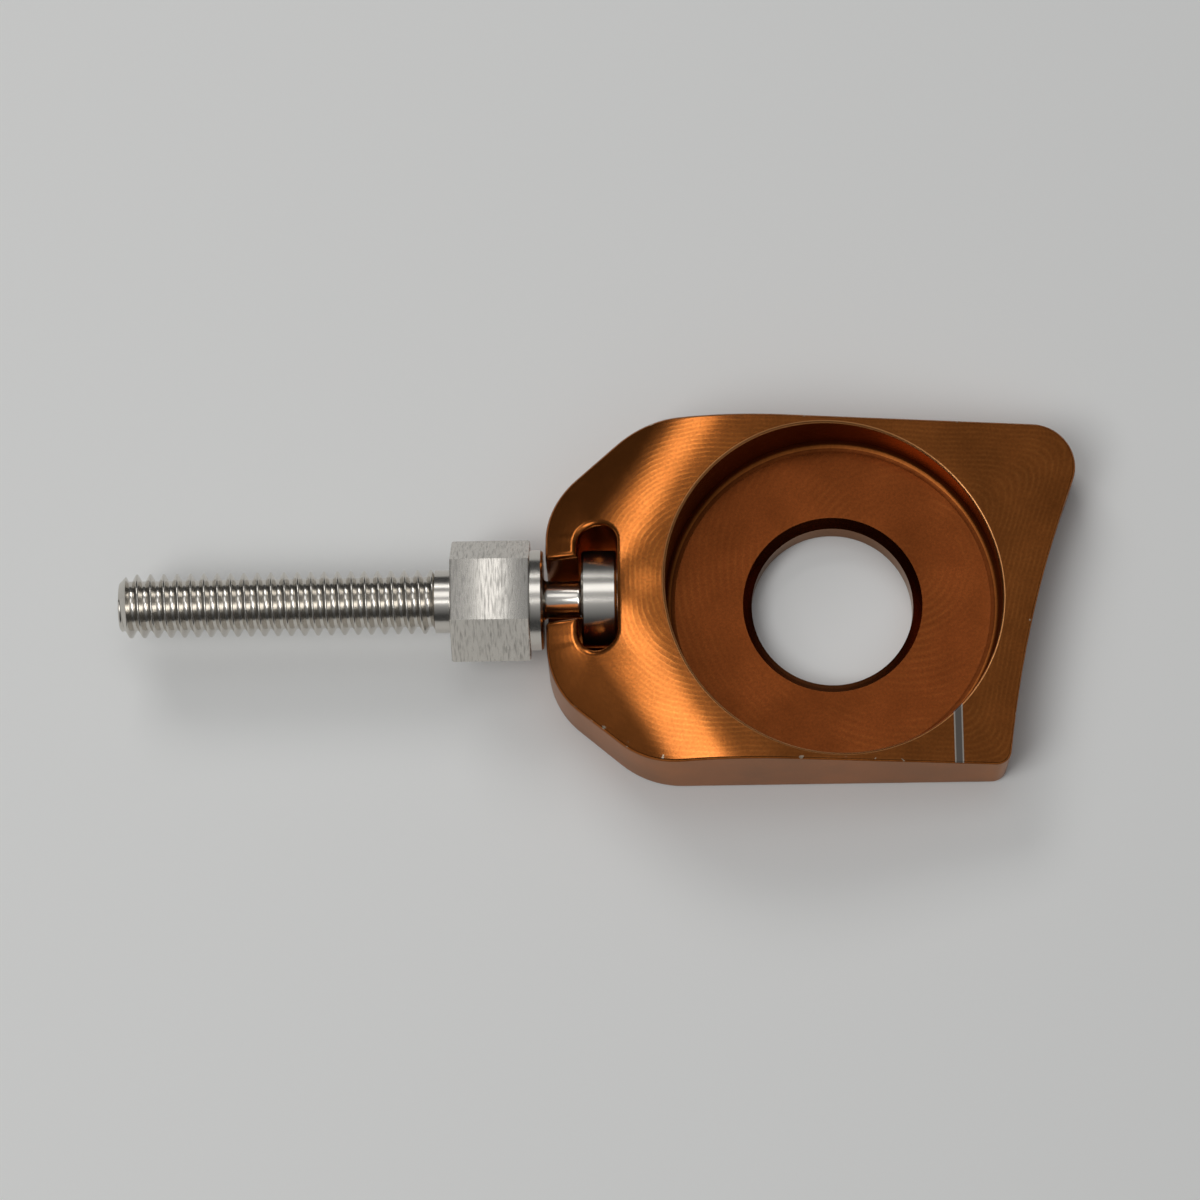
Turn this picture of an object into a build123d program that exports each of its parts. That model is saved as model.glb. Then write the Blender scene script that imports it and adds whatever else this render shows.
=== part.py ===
from build123d import *
import os
from math import cos, radians, sin, tan

# Chain adjuster for a motorcycle swingarm: a milled block that carries the rear axle, and the
# threaded stud that pushes it along. Millimetres. The part lies on the block's flat back (z = 0),
# the origin is on the axle axis, +X runs towards the tail of the block and -X along the stud.

# Block outline, seen along the axle
block_height = 32.9
nose_reach = 26.8
diagonal_start = 17.55
diagonal_angle = 40.0
nose_corner_radius = 8.0
shoulder_radius = 9.0
tail_top_reach = 25.0
tail_foot_reach = 15.95
tail_curve_radius = 112.0
tail_top_radius = 3.9
tail_foot_radius = 1.5

# Block front: a face that falls towards the tail, and a bevel along each diagonal of the nose
face_height = 11.1
face_tilt = 11.3
shoulder_wall_height = 10.1
nose_bevel_angle = 32.0
nose_bevel_turn = 49.0
ridge_radius = 15.0
edge_break = 0.25
back_edge_break = 0.4

# Axle bore and the round recess for the axle nut
axle_diameter = 15.0
axle_clearance = 0.1
bore_chamfer = 0.85
back_chamfer = 0.4
recess_side_wall = 0.7
recess_floor_thickness = 4.0
recess_floor_chamfer = 0.5
recess_rim_break = 0.25

# Stud, one turned piece: head, neck, collar, hexagon, shank and thread
stud_axis_height = 7.4
head_diameter = 9.1
head_length = 3.25
neck_diameter = 3.5
neck_chamfer = 0.4
collar_diameter = 9.4
collar_length = 1.2
turned_edge_break = 0.2
hex_across_flats = 10.0
hex_length = 7.4
hex_turn = 1.0
shank_diameter = 5.9
shank_length = 1.0
thread_diameter = 6.0
thread_length = 30.0
thread_end_chamfer = 0.8

# T-slot that holds the head of the stud
slot_lip = 3.0
throat_width = 5.8
slot_rim_radius = 0.5
head_seat_gap = 0.1
head_lip_gap = 0.3
head_floor_gap = 0.35
head_end_gap = 1.35
collar_gap = 0.3

half_height = block_height / 2
nose_half_width = half_height - (nose_reach - diagonal_start) * tan(radians(diagonal_angle))
blank_height = face_height + nose_reach * tan(radians(face_tilt))
bore_radius = axle_diameter / 2 + axle_clearance
recess_radius = half_height - recess_side_wall
slot_outer_x = -nose_reach + slot_lip
slot_inner_x = slot_outer_x + head_lip_gap + head_length + head_seat_gap
slot_height = head_diameter + 2 * head_end_gap
slot_floor_height = stud_axis_height - head_diameter / 2 - head_floor_gap


def block_outline():
    with BuildSketch() as outline:
        with BuildLine():
            Polyline(
                (tail_foot_reach, -half_height),
                (-diagonal_start, -half_height),
                (-nose_reach, -nose_half_width),
                (-nose_reach, nose_half_width),
                (-diagonal_start, half_height),
                (tail_top_reach, half_height),
            )
            RadiusArc((tail_top_reach, half_height), (tail_foot_reach, -half_height), -tail_curve_radius)
        make_face()
        corner_radii = {
            (-nose_reach, -nose_half_width): nose_corner_radius,
            (-nose_reach, nose_half_width): nose_corner_radius,
            (-diagonal_start, -half_height): shoulder_radius,
            (-diagonal_start, half_height): shoulder_radius,
            (tail_top_reach, half_height): tail_top_radius,
            (tail_foot_reach, -half_height): tail_foot_radius,
        }
        for corner, radius in corner_radii.items():
            fillet(outline.vertices().sort_by_distance(corner)[0], radius)
    return outline.sketch


def is_ridge(edge, solid):
    # An edge of the front where two sloping faces meet
    touching = [face for face in solid.faces() if any(edge.is_same(other) for other in face.edges())]
    return all(face.normal_at().Z > cos(radians(60)) for face in touching)


def front_form():
    # Falling face and two nose bevels, with blended ridges between them
    reach = 2 * (nose_reach + tail_top_reach)
    form = extrude(Rectangle(reach, reach), 2 * blank_height)
    fall = radians(face_tilt)
    lean = radians(nose_bevel_angle)
    turn = radians(nose_bevel_turn)
    cuts = [Plane(origin=(0, 0, face_height), z_dir=(sin(fall), 0, cos(fall)))]
    for side in (-1, 1):
        wall_top = (-diagonal_start, side * half_height, shoulder_wall_height)
        normal = (-sin(turn) * sin(lean), side * cos(turn) * sin(lean), cos(lean))
        cuts.append(Plane(origin=wall_top, z_dir=normal))
    for cut in cuts:
        form = split(form, bisect_by=cut, keep=Keep.BOTTOM)
    ridges = [edge for edge in form.edges() if is_ridge(edge, form)]
    return fillet(ridges, ridge_radius)


def stud_slot():
    # T-slot open to the front: a round-ended pocket for the head and a throat for the neck
    pocket_width = slot_inner_x - slot_outer_x
    pocket_x = (slot_inner_x + slot_outer_x) / 2
    pocket = Pos(pocket_x, 0) * SlotOverall(slot_height, pocket_width, rotation=90)
    throat_length = 2 * slot_lip + pocket_width / 2
    throat = Pos(pocket_x - throat_length / 2, 0) * Rectangle(throat_length, throat_width)
    return Pos(0, 0, slot_floor_height) * extrude(pocket + throat, 2 * blank_height)


def front_edges(edges):
    # Those on the front of the block, its upright corners left out
    high_edges = [edge for edge in edges if edge.center().Z > stud_axis_height]
    return [edge for edge in high_edges if abs(edge.tangent_at(0.5).Z) < cos(radians(30))]


def border_edges(block, border):
    # Those where the front of the block meets the walls of its outline
    found = []
    for edge in front_edges(block.edges()):
        middle = edge.position_at(0.5)
        if border.distance_to(Vertex(middle.X, middle.Y, 0)) < edge_break / 10:
            found.append(edge)
    return found


def adjuster_block():
    outline = block_outline()
    block = extrude(outline, 2 * blank_height) & front_form()
    slot = stud_slot()
    slotted = block - slot
    block = fillet(front_edges(new_edges(block, slot, combined=slotted)), slot_rim_radius)
    block = chamfer(border_edges(block, outline.face().outer_wire()), edge_break)
    block = chamfer(block.faces().sort_by(Axis.Z)[0].outer_wire().edges(), back_edge_break)

    recess = Pos(0, 0, recess_floor_thickness) * extrude(Circle(recess_radius), blank_height)
    recess = chamfer(recess.edges().sort_by(Axis.Z)[0], recess_floor_chamfer)
    recessed = block - recess
    block = chamfer(front_edges(new_edges(block, recess, combined=recessed)), recess_rim_break)

    bore = extrude(Circle(bore_radius), recess_floor_thickness)
    mouth = Pos(0, 0, recess_floor_thickness - bore_chamfer / 2) * Cone(
        bore_radius, bore_radius + bore_chamfer, bore_chamfer
    )
    back = Pos(0, 0, back_chamfer / 2) * Cone(bore_radius + back_chamfer, bore_radius, back_chamfer)
    return block - bore - mouth - back


def adjuster_stud():
    # Half section of the turned lengths, then the hexagon, about the X axis
    head_x = slot_inner_x - head_seat_gap
    neck_x = head_x - head_length
    collar_x = -nose_reach - collar_gap
    hex_x = collar_x - collar_length
    shank_x = hex_x - hex_length
    thread_x = shank_x - shank_length
    end_x = thread_x - thread_length
    with BuildSketch() as section:
        with BuildLine():
            Polyline(
                (head_x, 0),
                (head_x, head_diameter / 2),
                (neck_x, head_diameter / 2),
                (neck_x, neck_diameter / 2),
                (collar_x, neck_diameter / 2),
                (collar_x, collar_diameter / 2),
                (hex_x, collar_diameter / 2),
                (hex_x, shank_diameter / 2),
                (thread_x, shank_diameter / 2),
                (thread_x, thread_diameter / 2),
                (end_x, thread_diameter / 2),
                (end_x, 0),
                close=True,
            )
        make_face()
        corner_chamfers = {
            (neck_x, neck_diameter / 2): neck_chamfer,
            (collar_x, neck_diameter / 2): neck_chamfer,
            (head_x, head_diameter / 2): turned_edge_break,
            (neck_x, head_diameter / 2): turned_edge_break,
            (collar_x, collar_diameter / 2): turned_edge_break,
            (end_x, thread_diameter / 2): thread_end_chamfer,
        }
        for corner, length in corner_chamfers.items():
            chamfer(section.vertices().sort_by_distance(corner)[0], length)
    stud = revolve(section.sketch, Axis.X)
    half_facet = 360 / 6 / 2
    hexagon = RegularPolygon(hex_across_flats / 2, 6, major_radius=False, rotation=half_facet + hex_turn)
    hexagon = extrude(Plane((shank_x, 0, 0), x_dir=(0, 0, 1), z_dir=(1, 0, 0)) * hexagon, hex_length)
    hexagon = chamfer(hexagon.edges().filter_by(Axis.X, reverse=True), turned_edge_break)
    return Pos(0, 0, stud_axis_height) * (stud + hexagon)


os.makedirs("parts", exist_ok=True)
export_step(adjuster_block(), "parts/adjuster_block.step")
export_step(adjuster_stud(), "parts/adjuster_stud.step")
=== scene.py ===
import bpy
from math import cos, radians, sin, sqrt
from mathutils import Matrix, Vector


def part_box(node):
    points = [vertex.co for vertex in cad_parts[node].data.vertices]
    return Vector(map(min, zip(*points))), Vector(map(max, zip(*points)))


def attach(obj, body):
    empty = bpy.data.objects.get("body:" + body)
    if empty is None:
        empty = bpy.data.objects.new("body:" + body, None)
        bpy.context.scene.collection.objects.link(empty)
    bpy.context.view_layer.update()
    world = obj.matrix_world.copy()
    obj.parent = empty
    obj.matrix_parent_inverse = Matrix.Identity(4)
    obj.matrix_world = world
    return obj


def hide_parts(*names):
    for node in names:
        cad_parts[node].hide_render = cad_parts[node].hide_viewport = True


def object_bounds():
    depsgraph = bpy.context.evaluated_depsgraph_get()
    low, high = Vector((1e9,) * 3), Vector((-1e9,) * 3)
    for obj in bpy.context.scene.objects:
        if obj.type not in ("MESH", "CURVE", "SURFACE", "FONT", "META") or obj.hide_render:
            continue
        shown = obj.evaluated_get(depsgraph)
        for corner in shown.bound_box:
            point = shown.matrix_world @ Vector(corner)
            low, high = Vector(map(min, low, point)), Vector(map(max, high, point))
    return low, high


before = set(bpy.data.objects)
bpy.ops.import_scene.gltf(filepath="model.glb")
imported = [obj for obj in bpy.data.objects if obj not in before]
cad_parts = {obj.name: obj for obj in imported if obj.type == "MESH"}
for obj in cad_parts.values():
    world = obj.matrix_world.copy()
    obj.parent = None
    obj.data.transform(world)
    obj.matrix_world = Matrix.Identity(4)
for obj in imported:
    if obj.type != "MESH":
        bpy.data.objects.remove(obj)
cad_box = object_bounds()


# The axle block is milled from aluminium plate: an axle bore, a round recess for the axle nut and
# a T-slot in the nose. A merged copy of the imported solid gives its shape, with the foot of the
# recess rounded. The small chamfers shade as rounded edges, apart from the crisp ones of the bore.
mm = 0.001
weld = 0.001 * mm
bpy.ops.object.select_all(action="DESELECT")
block = bpy.data.objects.new("axle_block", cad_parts["adjuster_block"].data.copy())
bpy.context.collection.objects.link(block)
bpy.context.view_layer.objects.active = block
block.select_set(True)
bpy.ops.object.mode_set(mode="EDIT")
bpy.ops.mesh.select_mode(type="EDGE")
bpy.ops.mesh.select_all(action="SELECT")
bpy.ops.mesh.customdata_custom_splitnormals_clear()
bpy.ops.mesh.remove_doubles(threshold=weld)
bpy.ops.mesh.select_all(action="DESELECT")
bpy.ops.object.mode_set(mode="OBJECT")

# The end mill's rounded corner leaves a hollow round at the foot of the recess. Both edges of the
# chamfer there are bevelled, each over nearly half of its slope, so that they meet as one round.
recess_radius = 15.75
seat_height = 4.0
foot_break = 0.5
foot_share = 0.49
foot_steps = 4
foot_rings = ((recess_radius, seat_height + foot_break), (recess_radius - foot_break, seat_height))
near = 0.01
for edge in block.data.edges:
    ends = [block.data.vertices[index].co / mm for index in edge.vertices]
    edge.select = any(
        all(abs(end.xy.length - radius) < near and abs(end.z - height) < near for end in ends)
        for radius, height in foot_rings
    )
bpy.ops.object.mode_set(mode="EDIT")
foot_offset = foot_share * sqrt(2) * foot_break * mm
bpy.ops.mesh.bevel(offset=foot_offset, offset_type="OFFSET", segments=foot_steps, affect="EDGES")
bpy.ops.mesh.select_all(action="DESELECT")
bpy.ops.object.mode_set(mode="OBJECT")

# The edges of the bore stay crisp
rounded_below = radians(56)
bore_mouth_radius = 8.46
bpy.ops.object.shade_smooth_by_angle(angle=rounded_below)
for edge in block.data.edges:
    start, end = [block.data.vertices[index].co / mm for index in edge.vertices]
    in_bore = max(start.xy.length, end.xy.length) < bore_mouth_radius + near
    edge.select = in_bore and abs(start.z - end.z) < near
bpy.ops.object.mode_set(mode="EDIT")
bpy.ops.mesh.mark_sharp()

# The front, the walls and the back keep their own shading, and the narrow breaks bend to meet it
front_lean = radians(35)
wall_lean = radians(3)
bpy.ops.mesh.select_mode(type="FACE")
bpy.ops.mesh.select_all(action="DESELECT")
bpy.ops.object.mode_set(mode="OBJECT")
for face in block.data.polygons:
    on_wall = abs(face.normal.z) < sin(wall_lean)
    on_back = face.normal.z < -cos(wall_lean)
    face.select = face.normal.z > cos(front_lean) or on_wall or on_back
bpy.ops.object.mode_set(mode="EDIT")
bpy.ops.mesh.mod_weighted_strength(set=True, face_strength="STRONG")
bpy.ops.object.mode_set(mode="OBJECT")
even = block.modifiers.new("even_shading", "WEIGHTED_NORMAL")
even.keep_sharp = True
even.use_face_influence = True
even.mode = "CORNER_ANGLE"
bpy.ops.object.modifier_apply(modifier=even.name)


def linear(code):
    channels = [int(code[start:start + 2], 16) / 255 for start in (1, 3, 5)]
    return [c / 12.92 if c <= 0.04045 else ((c + 0.055) / 1.055) ** 2.4 for c in channels] + [1.0]


def add_node(tree, kind, inputs, output=0, **settings):
    node = tree.nodes.new(kind)
    for name, value in settings.items():
        setattr(node, name, value)
    for socket, value in inputs.items():
        if isinstance(value, bpy.types.NodeSocket):
            tree.links.new(value, node.inputs[socket])
        else:
            node.inputs[socket].default_value = value
    return node.outputs[output]


# Bronze anodising on milled aluminium: a satin brown metal. A ball cutter followed the outline in
# steps, and its fine ridges run round the front and catch the light. They are too shallow to see
# at their real height, so they are drawn a little deeper. Lengths in this material are millimetres.
bronze = bpy.data.materials.new("bronze_anodised_milled_aluminium")
bronze.use_nodes = True
tree = bronze.node_tree
bronze_shader = tree.nodes["Principled BSDF"]
place = add_node(tree, "ShaderNodeTexCoord", {}, "Object")
place = add_node(tree, "ShaderNodeVectorMath", {0: place, "Scale": 1 / mm}, operation="SCALE")
plan = add_node(tree, "ShaderNodeVectorMath", {0: place, 1: (1, 1, 0)}, operation="MULTIPLY")
radius = add_node(tree, "ShaderNodeVectorMath", {0: plan}, "Value", operation="LENGTH")
height = add_node(tree, "ShaderNodeSeparateXYZ", {0: place}, "Z")
facing = add_node(tree, "ShaderNodeTexCoord", {}, "Normal")
facing_nose = add_node(tree, "ShaderNodeSeparateXYZ", {0: facing}, "X")
facing_up = add_node(tree, "ShaderNodeSeparateXYZ", {0: facing}, "Z")

# How far a point lies in from the nearest side of the outline, with rounded bends between sides
block_low, block_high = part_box("adjuster_block")
half_height = block_high.y / mm
nose_reach = -block_low.x / mm
diagonal_start = 17.55
diagonal_angle = radians(40)
tail_top = Vector((25.0, half_height, 0))
tail_foot = Vector((15.95, -half_height, 0))
tail_curve_radius = 112.0
path_bend = 5.0
sides = [(Vector((1, 0, 0)), Vector((-nose_reach, 0, 0)))]
for way in (-1, 1):
    shoulder = Vector((-diagonal_start, -way * half_height, 0))
    sides.append((Vector((0, way, 0)), shoulder))
    sides.append((Vector((sin(diagonal_angle), way * cos(diagonal_angle), 0)), shoulder))
chord = tail_top - tail_foot
bulge = sqrt(tail_curve_radius ** 2 - (chord.length / 2) ** 2)
tail_centre = (tail_top + tail_foot) / 2 + bulge * Vector((chord.y, -chord.x, 0)).normalized()
depth = add_node(tree, "ShaderNodeVectorMath", {0: plan, 1: tail_centre}, "Value", operation="DISTANCE")
depth = add_node(tree, "ShaderNodeMath", {0: depth, 1: tail_curve_radius}, operation="SUBTRACT")
for inward, corner in sides:
    reach = add_node(tree, "ShaderNodeVectorMath", {0: plan, 1: inward}, "Value", operation="DOT_PRODUCT")
    reach = add_node(tree, "ShaderNodeMath", {0: reach, 1: inward.dot(corner)}, operation="SUBTRACT")
    depth = add_node(tree, "ShaderNodeMath", {0: depth, 1: reach, 2: path_bend}, operation="SMOOTH_MIN")


def cutter_ridges(across, step):
    # Hollows of one cutter pass each, from 0 at their floor to 1 at the crests between them
    share = add_node(tree, "ShaderNodeMath", {0: across, 1: step}, operation="DIVIDE")
    share = add_node(tree, "ShaderNodeMath", {0: share}, operation="FRACT")
    share = add_node(tree, "ShaderNodeMath", {0: share, 1: 2.0, 2: -1.0}, operation="MULTIPLY_ADD")
    return add_node(tree, "ShaderNodeMath", {0: share, 1: share}, operation="MULTIPLY")


# The passes wander a little, show in patches, and fade out on the smooth bevels of the nose
path_step = 0.45
ridge_height = 0.0045
wander_size = 4.0
wander_reach = 0.5
patch_size = 2.0
patch_least = 0.2
noise_low = 0.3
noise_high = 0.7
bevel_facing = -0.4
face_facing = -0.25
bevel_share = 0.15
wander = add_node(tree, "ShaderNodeTexNoise", {"Vector": plan, "Scale": 1 / wander_size, "Detail": 2.0})
path = add_node(tree, "ShaderNodeMath", {0: wander, 1: wander_reach, 2: depth}, operation="MULTIPLY_ADD")
patches = add_node(tree, "ShaderNodeTexNoise", {"Vector": plan, "Scale": 1 / patch_size, "Detail": 3.0})
patches = {0: patches, 1: noise_low, 2: noise_high, 3: patch_least, 4: 1.0}
patches = add_node(tree, "ShaderNodeMapRange", patches)
off_bevel = {0: facing_nose, 1: bevel_facing, 2: face_facing, 3: bevel_share, 4: 1.0}
off_bevel = add_node(tree, "ShaderNodeMapRange", off_bevel)
path = cutter_ridges(path, path_step)
path = add_node(tree, "ShaderNodeMath", {0: path, 1: patches}, operation="MULTIPLY")
path = add_node(tree, "ShaderNodeMath", {0: path, 1: off_bevel}, operation="MULTIPLY")

# The nut seat and the back were faced with a flat cutter, which leaves faint arcs, in patches
back_break = 0.4
facing_centre = (7.0, 3.5, 0)
facing_step = 0.7
facing_share = 0.11
facing_patch = 6.0
facing_low = 0.4
arcs = add_node(tree, "ShaderNodeVectorMath", {0: plan, 1: facing_centre}, "Value", operation="DISTANCE")
bare = add_node(tree, "ShaderNodeTexNoise", {"Vector": plan, "Scale": 1 / facing_patch, "Detail": 4.0})
bare = {0: bare, 1: facing_low, 2: noise_high, 3: 0.0, 4: facing_share}
bare = add_node(tree, "ShaderNodeMapRange", bare)
arcs = cutter_ridges(arcs, facing_step)
arcs = add_node(tree, "ShaderNodeMath", {0: arcs, 1: bare}, operation="MULTIPLY")
outside = add_node(tree, "ShaderNodeMath", {0: radius, 1: recess_radius}, operation="GREATER_THAN")
off_back = add_node(tree, "ShaderNodeMath", {0: height, 1: back_break}, operation="GREATER_THAN")
follows = add_node(tree, "ShaderNodeMath", {0: outside, 1: off_back}, operation="MULTIPLY")
crest = add_node(tree, "ShaderNodeMix", {0: follows, 2: arcs, 3: path})
relief = {"Strength": 1.0, "Distance": ridge_height * mm, "Height": crest}
relief = add_node(tree, "ShaderNodeBump", relief)
tree.links.new(relief, bronze_shader.inputs["Normal"])

# The coat is painted paler on the crests of the cutter ridges, a painted highlight along them.
# It is painted darker and redder on the nut seat, a painted shade at the floor of the recess, and
# painted dark in the bore, a painted shade inside the hole.
hollow_brown = linear("#9A5828")
crest_highlight_brown = linear("#AC6731")
seat_shade_brown = linear("#633114")
bore_shade_brown = linear("#6B3A1C")
seat_margin = 0.5
# Paler crests: a painted highlight along the cutter ridges
coat = add_node(tree, "ShaderNodeMix", {0: crest, 6: hollow_brown, 7: crest_highlight_brown}, 2, data_type="RGBA")
seat = add_node(tree, "ShaderNodeMath", {0: radius, 1: recess_radius - seat_margin}, operation="LESS_THAN")
seat = add_node(tree, "ShaderNodeMath", {0: seat, 1: off_back}, operation="MULTIPLY")
# The nut seat: painted shade at the floor of the recess, with painted highlights on its arcs
painted_seat_shading = add_node(tree, "ShaderNodeMix", {0: crest, 6: seat_shade_brown, 7: crest_highlight_brown}, 2, data_type="RGBA")
coat = add_node(tree, "ShaderNodeMix", {0: seat, 6: coat, 7: painted_seat_shading}, 2, data_type="RGBA")
bored = add_node(tree, "ShaderNodeMath", {0: radius, 1: bore_mouth_radius}, operation="LESS_THAN")
# The bore: painted shade inside the hole
coat = add_node(tree, "ShaderNodeMix", {0: bored, 6: coat, 7: bore_shade_brown}, 2, data_type="RGBA")

# Etching before the bath leaves a fine grain in the coat, drawn coarser here so that it shows, and
# the bath itself leaves faint clouds
grain_size = 0.22
grain_tones = (0.86, 1.12)
cloud_size = 5.0
cloud_tones = (0.84, 1.16)
for size, (dark, pale) in ((grain_size, grain_tones), (cloud_size, cloud_tones)):
    tone = add_node(tree, "ShaderNodeTexNoise", {"Vector": place, "Scale": 1 / size, "Detail": 2.0})
    tone = {0: tone, 1: noise_low, 2: noise_high, 3: dark, 4: pale}
    tone = add_node(tree, "ShaderNodeMapRange", tone)
    coat = {0: 1.0, 6: coat, 7: tone}
    coat = add_node(tree, "ShaderNodeMix", coat, 2, data_type="RGBA", blend_type="MULTIPLY")

# Handling has nicked the edges of the front here and there, down to the bare aluminium
nick_reach = 0.3
nick_size = 1.1
nick_above = 0.68
front_facing = 0.3
bare_aluminium = linear("#CDB9A3")
nicks = add_node(tree, "ShaderNodeTexNoise", {"Vector": place, "Scale": 1 / nick_size, "Detail": 3.0})
nicks = add_node(tree, "ShaderNodeMath", {0: nicks, 1: nick_above}, operation="GREATER_THAN")
at_edge = add_node(tree, "ShaderNodeMath", {0: depth, 1: nick_reach}, operation="LESS_THAN")
nicks = add_node(tree, "ShaderNodeMath", {0: nicks, 1: at_edge}, operation="MULTIPLY")
on_front = add_node(tree, "ShaderNodeMath", {0: facing_up, 1: front_facing}, operation="GREATER_THAN")
nicks = add_node(tree, "ShaderNodeMath", {0: nicks, 1: on_front}, operation="MULTIPLY")
coat = add_node(tree, "ShaderNodeMix", {0: nicks, 6: coat, 7: bare_aluminium}, 2, data_type="RGBA")

# A fine pale line painted on the rim of the recess is a painted highlight, where the rounded edge
# catches the light
rim_break = 0.25
rim_foot = 6.0
rim_highlight_bronze = linear("#D0905A")
rim = {0: radius, 1: recess_radius + rim_break / 2, 2: rim_break / 2 - near}
rim = add_node(tree, "ShaderNodeMath", rim, operation="COMPARE")
high = add_node(tree, "ShaderNodeMath", {0: height, 1: rim_foot}, operation="GREATER_THAN")
rim = add_node(tree, "ShaderNodeMath", {0: rim, 1: high}, operation="MULTIPLY")
# Painted highlight along the rounded rim of the recess
coat = add_node(tree, "ShaderNodeMix", {0: rim, 6: coat, 7: rim_highlight_bronze}, 2, data_type="RGBA")

# The witness mark is a laser line from the recess to the lower edge, grey between two pale borders
mark_place = 11.2
mark_half_width = 0.42
mark_border = 0.13
mark_grey = linear("#77706A")
mark_pale = linear("#BDB6AE")
across = add_node(tree, "ShaderNodeSeparateXYZ", {0: place}, "X")
across = add_node(tree, "ShaderNodeMath", {0: across, 1: mark_place}, operation="SUBTRACT")
across = add_node(tree, "ShaderNodeMath", {0: across}, operation="ABSOLUTE")
marked = add_node(tree, "ShaderNodeMath", {0: across, 1: mark_half_width}, operation="LESS_THAN")
lower_half = add_node(tree, "ShaderNodeSeparateXYZ", {0: place}, "Y")
lower_half = add_node(tree, "ShaderNodeMath", {0: lower_half, 1: 0.0}, operation="LESS_THAN")
for limit in (outside, on_front, lower_half):
    marked = add_node(tree, "ShaderNodeMath", {0: marked, 1: limit}, operation="MULTIPLY")
border = {0: across, 1: mark_half_width - mark_border}
border = add_node(tree, "ShaderNodeMath", border, operation="GREATER_THAN")
etched = add_node(tree, "ShaderNodeMix", {0: border, 6: mark_grey, 7: mark_pale}, 2, data_type="RGBA")
coat = add_node(tree, "ShaderNodeMix", {0: marked, 6: coat, 7: etched}, 2, data_type="RGBA")
tree.links.new(coat, bronze_shader.inputs["Base Color"])

# The coat is satin: smoother in the bore, duller at the foot and rim of the recess and on the mark
satin_roughness = 0.25
bore_roughness = 0.2
foot_roughness = 0.45
foot_reach = 0.9
rim_roughness = 0.3
etched_roughness = 0.6
glancing_bronze = linear("#F2E2D2")
sheen = add_node(tree, "ShaderNodeMix", {0: bored, 2: satin_roughness, 3: bore_roughness})
foot = {0: radius, 1: recess_radius - foot_reach / 2, 2: foot_reach / 2 + near}
foot = add_node(tree, "ShaderNodeMath", foot, operation="COMPARE")
low = add_node(tree, "ShaderNodeMath", {0: height, 1: seat_height + foot_reach}, operation="LESS_THAN")
for limit in (low, off_back):
    foot = add_node(tree, "ShaderNodeMath", {0: foot, 1: limit}, operation="MULTIPLY")
sheen = add_node(tree, "ShaderNodeMix", {0: foot, 2: sheen, 3: foot_roughness})
sheen = add_node(tree, "ShaderNodeMix", {0: rim, 2: sheen, 3: rim_roughness})
sheen = add_node(tree, "ShaderNodeMix", {0: marked, 2: sheen, 3: etched_roughness})
tree.links.new(sheen, bronze_shader.inputs["Roughness"])
bronze_shader.inputs["Metallic"].default_value = 1.0
bronze_shader.inputs["Specular Tint"].default_value = glancing_bronze
block.data.materials.clear()
block.data.materials.append(bronze)
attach(block, "block")
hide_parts("adjuster_block")


# The stud is turned from stainless hexagon bar in one piece. Its head drops into the T-slot, a thin
# neck passes the throat, and a collar meets the block. Behind them come hexagon, shank and thread.
stud_low, stud_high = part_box("adjuster_stud")
stud_height = (stud_low.z + stud_high.z) / 2
round_segments = 96


def on_axis(x):
    return Vector((x, 0, stud_height))


def turn_length(name, stations):
    # Starts from a disc and draws it out along the axis, from one station to the next
    bpy.ops.object.select_all(action="DESELECT")
    x, radius = stations[0]
    bpy.ops.mesh.primitive_circle_add(
        vertices=round_segments,
        radius=radius,
        fill_type="NGON",
        location=on_axis(x),
        rotation=(0, radians(90), 0),
    )
    piece = bpy.context.object
    piece.name = name
    bpy.ops.object.transform_apply(location=True, rotation=True, scale=True)
    bpy.ops.object.mode_set(mode="EDIT")
    bpy.ops.mesh.select_all(action="SELECT")
    for next_x, next_radius in stations[1:]:
        bpy.ops.mesh.extrude_region_move(TRANSFORM_OT_translate={"value": (next_x - x, 0, 0)})
        growth = next_radius / radius
        bpy.ops.transform.resize(value=(1, growth, growth), center_override=on_axis(next_x))
        x, radius = next_x, next_radius
    bpy.ops.mesh.select_all(action="SELECT")
    bpy.ops.mesh.remove_doubles(threshold=weld)
    bpy.ops.mesh.normals_make_consistent(inside=False)
    bpy.ops.object.mode_set(mode="OBJECT")
    return piece


head_radius = 4.55 * mm
head_length = 3.25 * mm
neck_radius = 1.75 * mm
neck_round = 0.4 * mm
neck_length = 3.6 * mm
collar_radius = 4.7 * mm
collar_length = 1.2 * mm
edge_break = 0.2 * mm
hexagon_length = 7.4 * mm
shank_radius = 2.95 * mm
shank_length = 1.0 * mm
overlap = 0.5 * mm
round_steps = 5
head_x = stud_high.x
neck_x = head_x - head_length
collar_x = neck_x - neck_length
hexagon_x = collar_x - collar_length
shank_x = hexagon_x - hexagon_length
thread_x = shank_x - shank_length
quarter = [radians(90) * step / round_steps for step in range(round_steps + 1)]
inner_round = [(neck_round * (1 - cos(angle)), neck_round * (1 - sin(angle))) for angle in quarter]
front = turn_length(
    "stud_head",
    [
        (head_x, head_radius - edge_break),
        (head_x - edge_break, head_radius),
        (neck_x + edge_break, head_radius),
        (neck_x, head_radius - edge_break),
    ]
    + [(neck_x - run, neck_radius + rise) for run, rise in inner_round]
    + [(collar_x + run, neck_radius + rise) for run, rise in reversed(inner_round)]
    + [
        (collar_x, collar_radius - edge_break),
        (collar_x - edge_break, collar_radius),
        (hexagon_x - overlap, collar_radius),
    ],
)
shank = turn_length("stud_shank", [(shank_x + overlap, shank_radius), (thread_x - overlap, shank_radius)])

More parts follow.
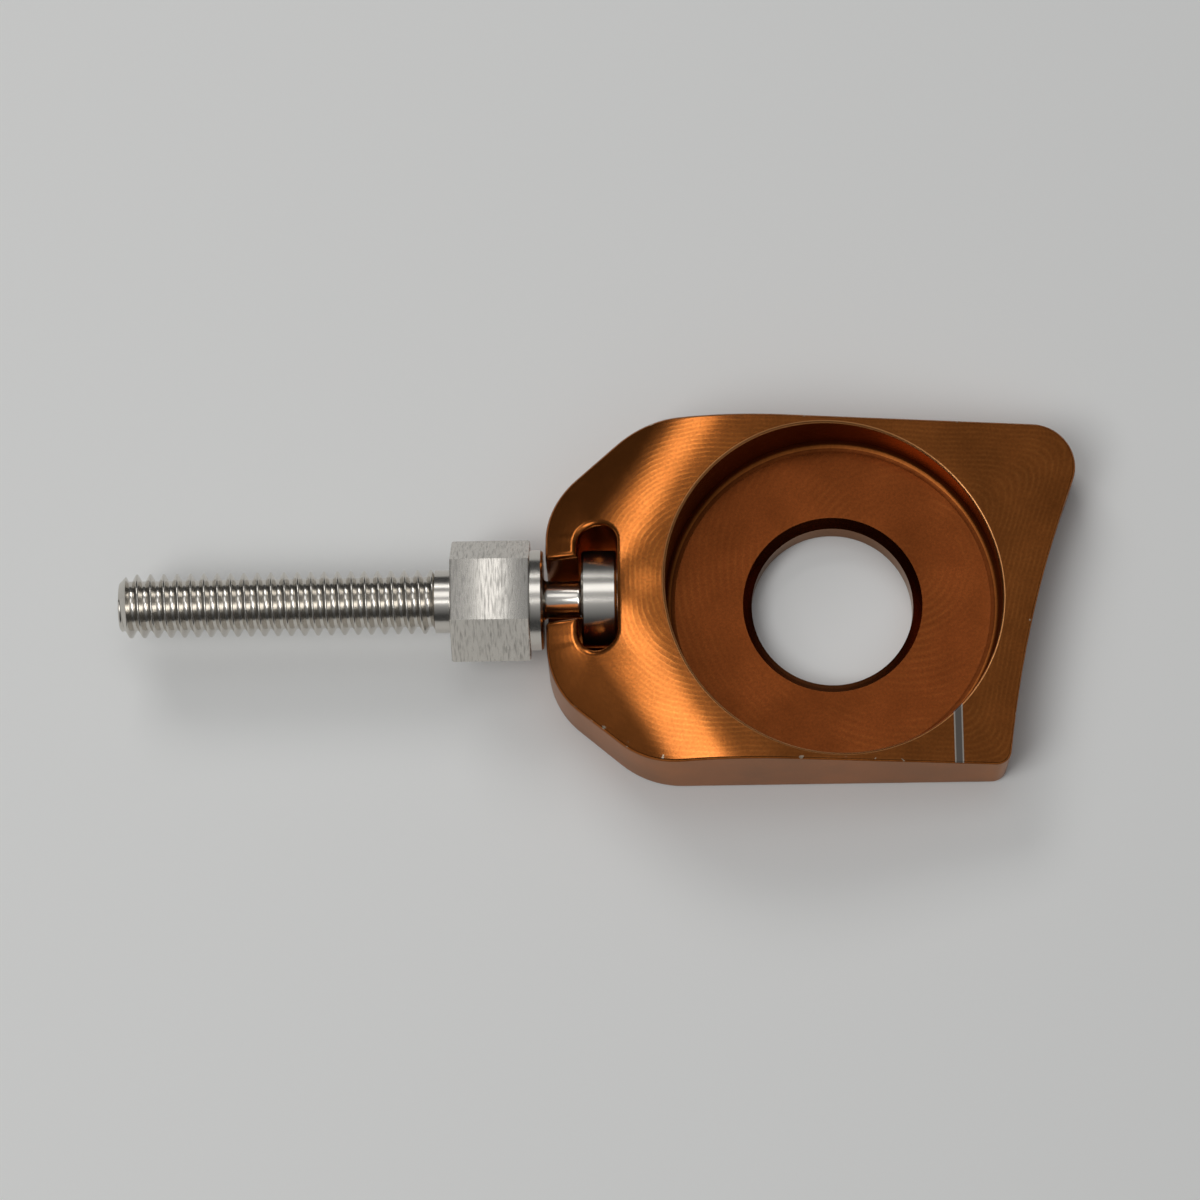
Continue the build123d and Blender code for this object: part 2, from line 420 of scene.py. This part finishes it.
# The hexagon is the bar as drawn, with the edges of its two ends broken
across_flats = 10.0 * mm
hexagon_turn = radians(1)
break_steps = 2
bpy.ops.object.select_all(action="DESELECT")
bpy.ops.mesh.primitive_cylinder_add(
    vertices=6,
    radius=across_flats / 2 / cos(radians(30)),
    depth=hexagon_length,
    location=on_axis((hexagon_x + shank_x) / 2),
    rotation=(0, radians(90), 0),
)
hexagon = bpy.context.object
hexagon.name = "stud_hexagon"
bpy.ops.object.transform_apply(location=True, rotation=True, scale=True)
bpy.ops.object.mode_set(mode="EDIT")
bpy.ops.mesh.select_all(action="SELECT")
bpy.ops.transform.rotate(value=-hexagon_turn, orient_axis="X", center_override=on_axis(hexagon_x))
bpy.ops.mesh.select_mode(type="EDGE")
bpy.ops.mesh.select_all(action="DESELECT")
bpy.ops.object.mode_set(mode="OBJECT")
for edge in hexagon.data.edges:
    start, end = [hexagon.data.vertices[index].co for index in edge.vertices]
    edge.select = abs(start.x - end.x) < weld
bpy.ops.object.mode_set(mode="EDIT")
bpy.ops.mesh.bevel(offset=edge_break, offset_type="OFFSET", segments=break_steps, affect="EDGES")
bpy.ops.object.mode_set(mode="OBJECT")

# The thread is one tooth drawn out by a screw, closed at both ends and trimmed to a rod whose
# first and last turns lead in. The tooth starts as a single point on the root.
thread_radius = 3.0 * mm
thread_pitch = 1.25 * mm
depth_per_pitch = 0.5413
tooth_depth = depth_per_pitch * thread_pitch
tooth_round = 0.07 * mm
tooth_steps = 3
spare_turns = 3
end_x = stud_low.x
end_chamfer = 0.8 * mm
root_radius = thread_radius - tooth_depth
flat = thread_pitch / 8
flank = (thread_pitch - 3 * flat) / 2
bpy.ops.object.select_all(action="DESELECT")
bpy.ops.mesh.primitive_plane_add(size=thread_pitch, location=(end_x - thread_pitch, 0, root_radius))
thread = bpy.context.object
thread.name = "stud_thread"
bpy.ops.object.transform_apply(location=True, rotation=True, scale=True)
bpy.ops.object.mode_set(mode="EDIT")
bpy.ops.mesh.select_mode(type="VERT")
bpy.ops.mesh.select_all(action="SELECT")
bpy.ops.mesh.merge(type="CENTER")
for run, rise in ((flat, 0), (flank, tooth_depth), (flat, 0), (flank, -tooth_depth), (flat, 0)):
    bpy.ops.mesh.extrude_region_move(TRANSFORM_OT_translate={"value": (run, 0, rise)})
bpy.ops.object.mode_set(mode="OBJECT")
tooth_ends = (thread.data.vertices[0].co.x, thread.data.vertices[0].co.x + thread_pitch)
for vertex in thread.data.vertices:
    vertex.select = min(abs(vertex.co.x - end) for end in tooth_ends) > weld
bpy.ops.object.mode_set(mode="EDIT")
bpy.ops.mesh.bevel(offset=tooth_round, segments=tooth_steps, affect="VERTICES")
bpy.ops.object.mode_set(mode="OBJECT")
screw = thread.modifiers.new("screw", "SCREW")
screw.axis = "X"
screw.screw_offset = thread_pitch
screw.iterations = round((thread_x - end_x) / thread_pitch) + spare_turns
screw.steps = round_segments
screw.render_steps = round_segments
bpy.ops.object.modifier_apply(modifier=screw.name)
bpy.ops.object.mode_set(mode="EDIT")
bpy.ops.mesh.select_all(action="SELECT")
bpy.ops.mesh.remove_doubles(threshold=weld)
for cut_x, way in ((end_x - overlap / 2, -1), (thread_x + overlap / 2, 1)):
    bpy.ops.mesh.select_all(action="SELECT")
    bpy.ops.mesh.bisect(plane_co=(cut_x, 0, 0), plane_no=(way, 0, 0), clear_outer=True)
bpy.ops.mesh.select_all(action="SELECT")
bpy.ops.mesh.fill_holes(sides=0)
bpy.ops.mesh.select_all(action="SELECT")
bpy.ops.transform.translate(value=(0, 0, stud_height))
bpy.ops.mesh.normals_make_consistent(inside=False)
bpy.ops.object.mode_set(mode="OBJECT")
envelope = turn_length(
    "thread_envelope",
    [
        (thread_x, root_radius),
        (thread_x - tooth_depth, thread_radius),
        (end_x + end_chamfer, thread_radius),
        (end_x, thread_radius - end_chamfer),
    ],
)
bpy.ops.object.select_all(action="DESELECT")
bpy.context.view_layer.objects.active = thread
thread.select_set(True)
trim = thread.modifiers.new("trim", "BOOLEAN")
trim.operation = "INTERSECT"
trim.solver = "EXACT"
trim.object = envelope
bpy.ops.object.modifier_apply(modifier=trim.name)
bpy.data.objects.remove(envelope)

# Stainless steel, bright from the lathe: fine rings run round the turned lengths and the thread.
# A real feed is finer than a pixel, so the rings are drawn wider.
steel_grey = linear("#CFCAC2")
turned_roughness = 0.2
lathe_feed = 0.12
lathe_depth = 0.0005
steel = bpy.data.materials.new("turned_stainless_steel")
steel.use_nodes = True
tree = steel.node_tree
steel_shader = tree.nodes["Principled BSDF"]
steel_shader.inputs["Base Color"].default_value = steel_grey
steel_shader.inputs["Metallic"].default_value = 1.0
steel_shader.inputs["Roughness"].default_value = turned_roughness
place = add_node(tree, "ShaderNodeTexCoord", {}, "Object")
along = add_node(tree, "ShaderNodeSeparateXYZ", {0: place}, "X")
rings = {"W": along, "Scale": 1 / (lathe_feed * mm), "Detail": 2.0}
rings = add_node(tree, "ShaderNodeTexNoise", rings, noise_dimensions="1D")
rings = {"Strength": 1.0, "Distance": lathe_depth * mm, "Height": rings}
rings = add_node(tree, "ShaderNodeBump", rings)
tree.links.new(rings, steel_shader.inputs["Normal"])

# The hexagon keeps the mill finish of drawn bar: bright, with fine scratches rubbed across its flats.
# Real ones are finer than a pixel, so they are drawn wider.
scratch_length = 1.4
scratch_width = 0.16
scratch_depth = 0.0008
scratch_grey = linear("#A8A49D")
grey_low = 0.3
grey_high = 0.5
dull_low = 0.35
dull_high = 0.65
scratch_roughness = 0.34
drawn_roughness = 0.2
drawn = bpy.data.materials.new("drawn_stainless_bar")
drawn.use_nodes = True
tree = drawn.node_tree
drawn_shader = tree.nodes["Principled BSDF"]
drawn_shader.inputs["Metallic"].default_value = 1.0
place = add_node(tree, "ShaderNodeTexCoord", {}, "Object")
stretch = (1 / (scratch_width * mm), 1 / (scratch_length * mm), 1 / (scratch_length * mm))
place = add_node(tree, "ShaderNodeVectorMath", {0: place, 1: stretch}, operation="MULTIPLY")
rubbed = add_node(tree, "ShaderNodeTexNoise", {"Vector": place, "Scale": 1.0, "Detail": 4.0})
shade = add_node(tree, "ShaderNodeMapRange", {0: rubbed, 1: grey_low, 2: grey_high})
shade = add_node(tree, "ShaderNodeMix", {0: shade, 6: scratch_grey, 7: steel_grey}, 2, data_type="RGBA")
tree.links.new(shade, drawn_shader.inputs["Base Color"])
dull = {0: rubbed, 1: dull_low, 2: dull_high, 3: scratch_roughness, 4: drawn_roughness}
dull = add_node(tree, "ShaderNodeMapRange", dull)
tree.links.new(dull, drawn_shader.inputs["Roughness"])
uneven = {"Strength": 1.0, "Distance": scratch_depth * mm, "Height": rubbed}
uneven = add_node(tree, "ShaderNodeBump", uneven)
tree.links.new(uneven, drawn_shader.inputs["Normal"])

# The lengths of the stud are joined into one piece
bpy.ops.object.select_all(action="DESELECT")
for piece, finish in ((front, steel), (shank, steel), (hexagon, drawn), (thread, steel)):
    piece.data.materials.clear()
    piece.data.materials.append(finish)
    piece.select_set(True)
bpy.context.view_layer.objects.active = front
bpy.ops.object.join()
stud = bpy.context.object
stud.name = "threaded_stud"
crisp_above = radians(28)
bpy.ops.object.shade_smooth_by_angle(angle=crisp_above)
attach(stud, "stud")
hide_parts("adjuster_stud")


# The part lies on a table top in matt white paint, which gives the eye a plain pale ground with
# soft shadows and no reflections.
table_size = 6.0
table_white = linear("#F4F4F2")
matt_roughness = 0.9
bpy.ops.object.select_all(action="DESELECT")
bpy.ops.mesh.primitive_plane_add(size=table_size, location=(0, 0, 0))
table = bpy.context.object
table.name = "table_top"
paint = bpy.data.materials.new("matt_white_paint")
paint.use_nodes = True
paint_shader = paint.node_tree.nodes["Principled BSDF"]
paint_shader.inputs["Base Color"].default_value = table_white
paint_shader.inputs["Roughness"].default_value = matt_roughness
table.data.materials.append(paint)


# The studio is pale overhead and dim round the walls, with three softboxes. The first rakes the
# nose from the near left, the second comes over the far edge, and the third hangs above.
overhead_light = 0.42
wall_light = 0.06
wall_top = 0.45
studio_white = linear("#F6F8FA")
studio = bpy.data.worlds.new("studio")
bpy.context.scene.world = studio
studio.use_nodes = True
tree = studio.node_tree
background = tree.nodes["Background"]
background.inputs["Color"].default_value = studio_white
upward = add_node(tree, "ShaderNodeTexCoord", {}, "Generated")
upward = add_node(tree, "ShaderNodeSeparateXYZ", {0: upward}, "Z")
glow = {0: upward, 1: wall_top, 2: 1.0, 3: wall_light, 4: overhead_light}
glow = add_node(tree, "ShaderNodeMapRange", glow)
tree.links.new(glow, background.inputs["Strength"])
for name, stand, width, length, power in (
    ("near_softbox", Vector((-0.25, -0.17, 0.54)), 0.23, 0.36, 1.05),
    ("far_softbox", Vector((-0.24, 0.46, 0.48)), 0.36, 0.22, 0.8),
    ("top_softbox", Vector((-0.04, 0.15, 0.62)), 0.2, 0.2, 0.17),
):
    lamp = bpy.data.lights.new(name, "AREA")
    lamp.shape = "RECTANGLE"
    lamp.size = width
    lamp.size_y = length
    lamp.energy = power
    softbox = bpy.data.objects.new(name, lamp)
    bpy.context.collection.objects.link(softbox)
    softbox.location = stand
    softbox.rotation_euler = (-stand).to_track_quat("-Z", "Y").to_euler()


# The camera looks down from nearly above, a little on the near side, from where the photograph
# was taken, and is turned to the middle of the part.
camera_distance = 0.466
camera_tilt = radians(13.87)
camera_swing = radians(-1.93)
camera_roll = radians(-0.67)
picture_fill = 0.8
sensor = 36.0
swung = cos(camera_tilt)
stand = Vector((sin(camera_swing) * swung, -sin(camera_tilt), cos(camera_swing) * swung))
stand = stand * camera_distance
aim = (cad_box[0] + cad_box[1]) / 2
back = (stand - aim).normalized()
level = Vector((0, 1, 0)).cross(back).normalized()
upright = back.cross(level)
right = level * cos(camera_roll) + upright * sin(camera_roll)
turned = Matrix((right, back.cross(right), back)).transposed().to_4x4()
turned.translation = stand
lens = bpy.data.cameras.new("camera")
lens.sensor_width = sensor
lens.lens = sensor * picture_fill * (stand - aim).length / (cad_box[1].x - cad_box[0].x)
camera = bpy.data.objects.new("camera", lens)
bpy.context.collection.objects.link(camera)
camera.matrix_world = turned
bpy.context.scene.camera = camera
bpy.context.scene.view_settings.view_transform = "Standard"
